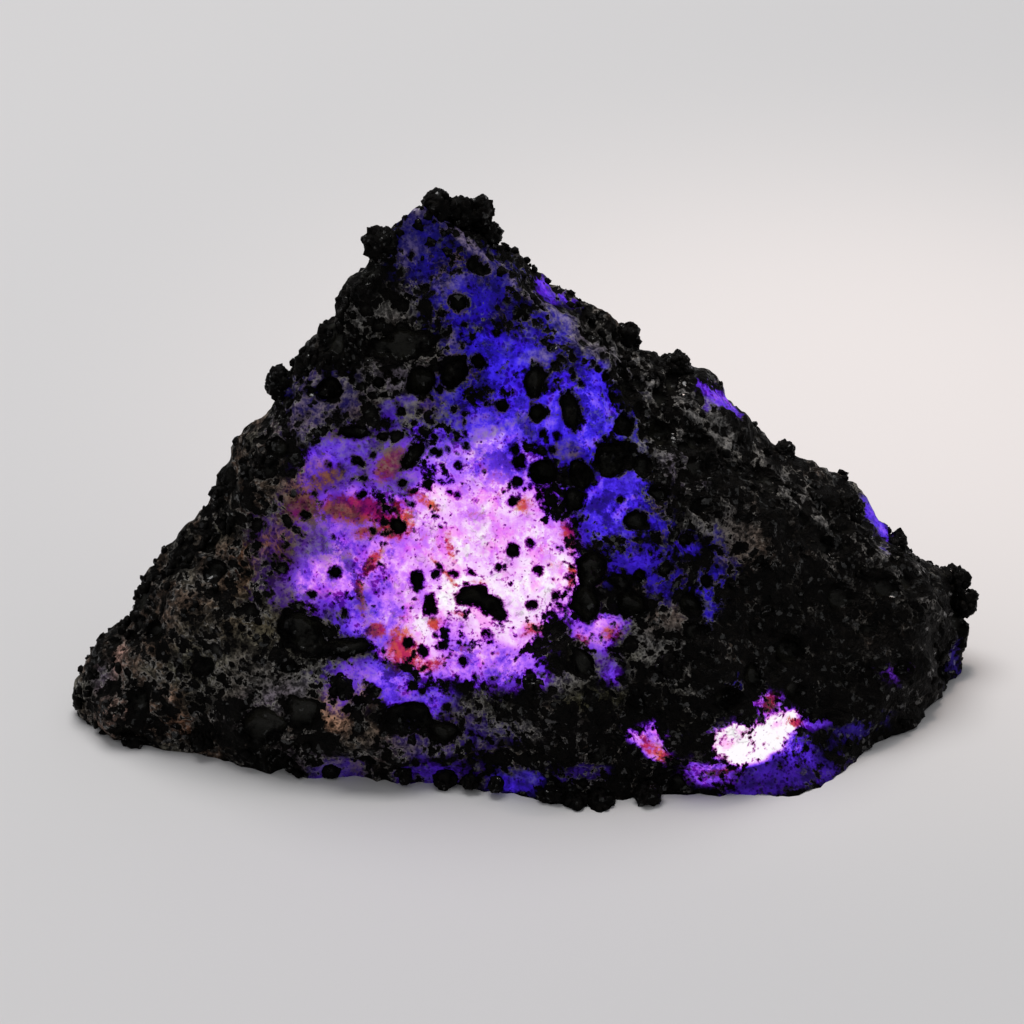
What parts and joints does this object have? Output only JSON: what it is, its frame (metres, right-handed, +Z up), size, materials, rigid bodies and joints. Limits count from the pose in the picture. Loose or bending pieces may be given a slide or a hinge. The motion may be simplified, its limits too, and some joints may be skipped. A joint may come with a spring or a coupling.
{
  "type": "rough sapphire",
  "caption": "Rough sapphire: a wedge-shaped lump of blue-violet corundum under a black, pitted, knobbly crust, standing on a flat broken base.",
  "frame": {"origin": "On the surface the stone stands on, under the middle of its box", "axes": "+X along the stone's length, towards its lower right end as seen from the front; +Y to the back; +Z up"},
  "size_m": [0.0615, 0.0253, 0.0375],
  "materials": {
    "crusted_sapphire": "Black, half-glossy, pitted crust with olive-grey bloom and rust stains. Cloudy blue-violet sapphire shows through it, lit from inside to pink-white by a torch held behind the stone."
  },
  "bodies": {
    "root": {"rough_sapphire": "crusted_sapphire"}
  },
  "joints": []
}
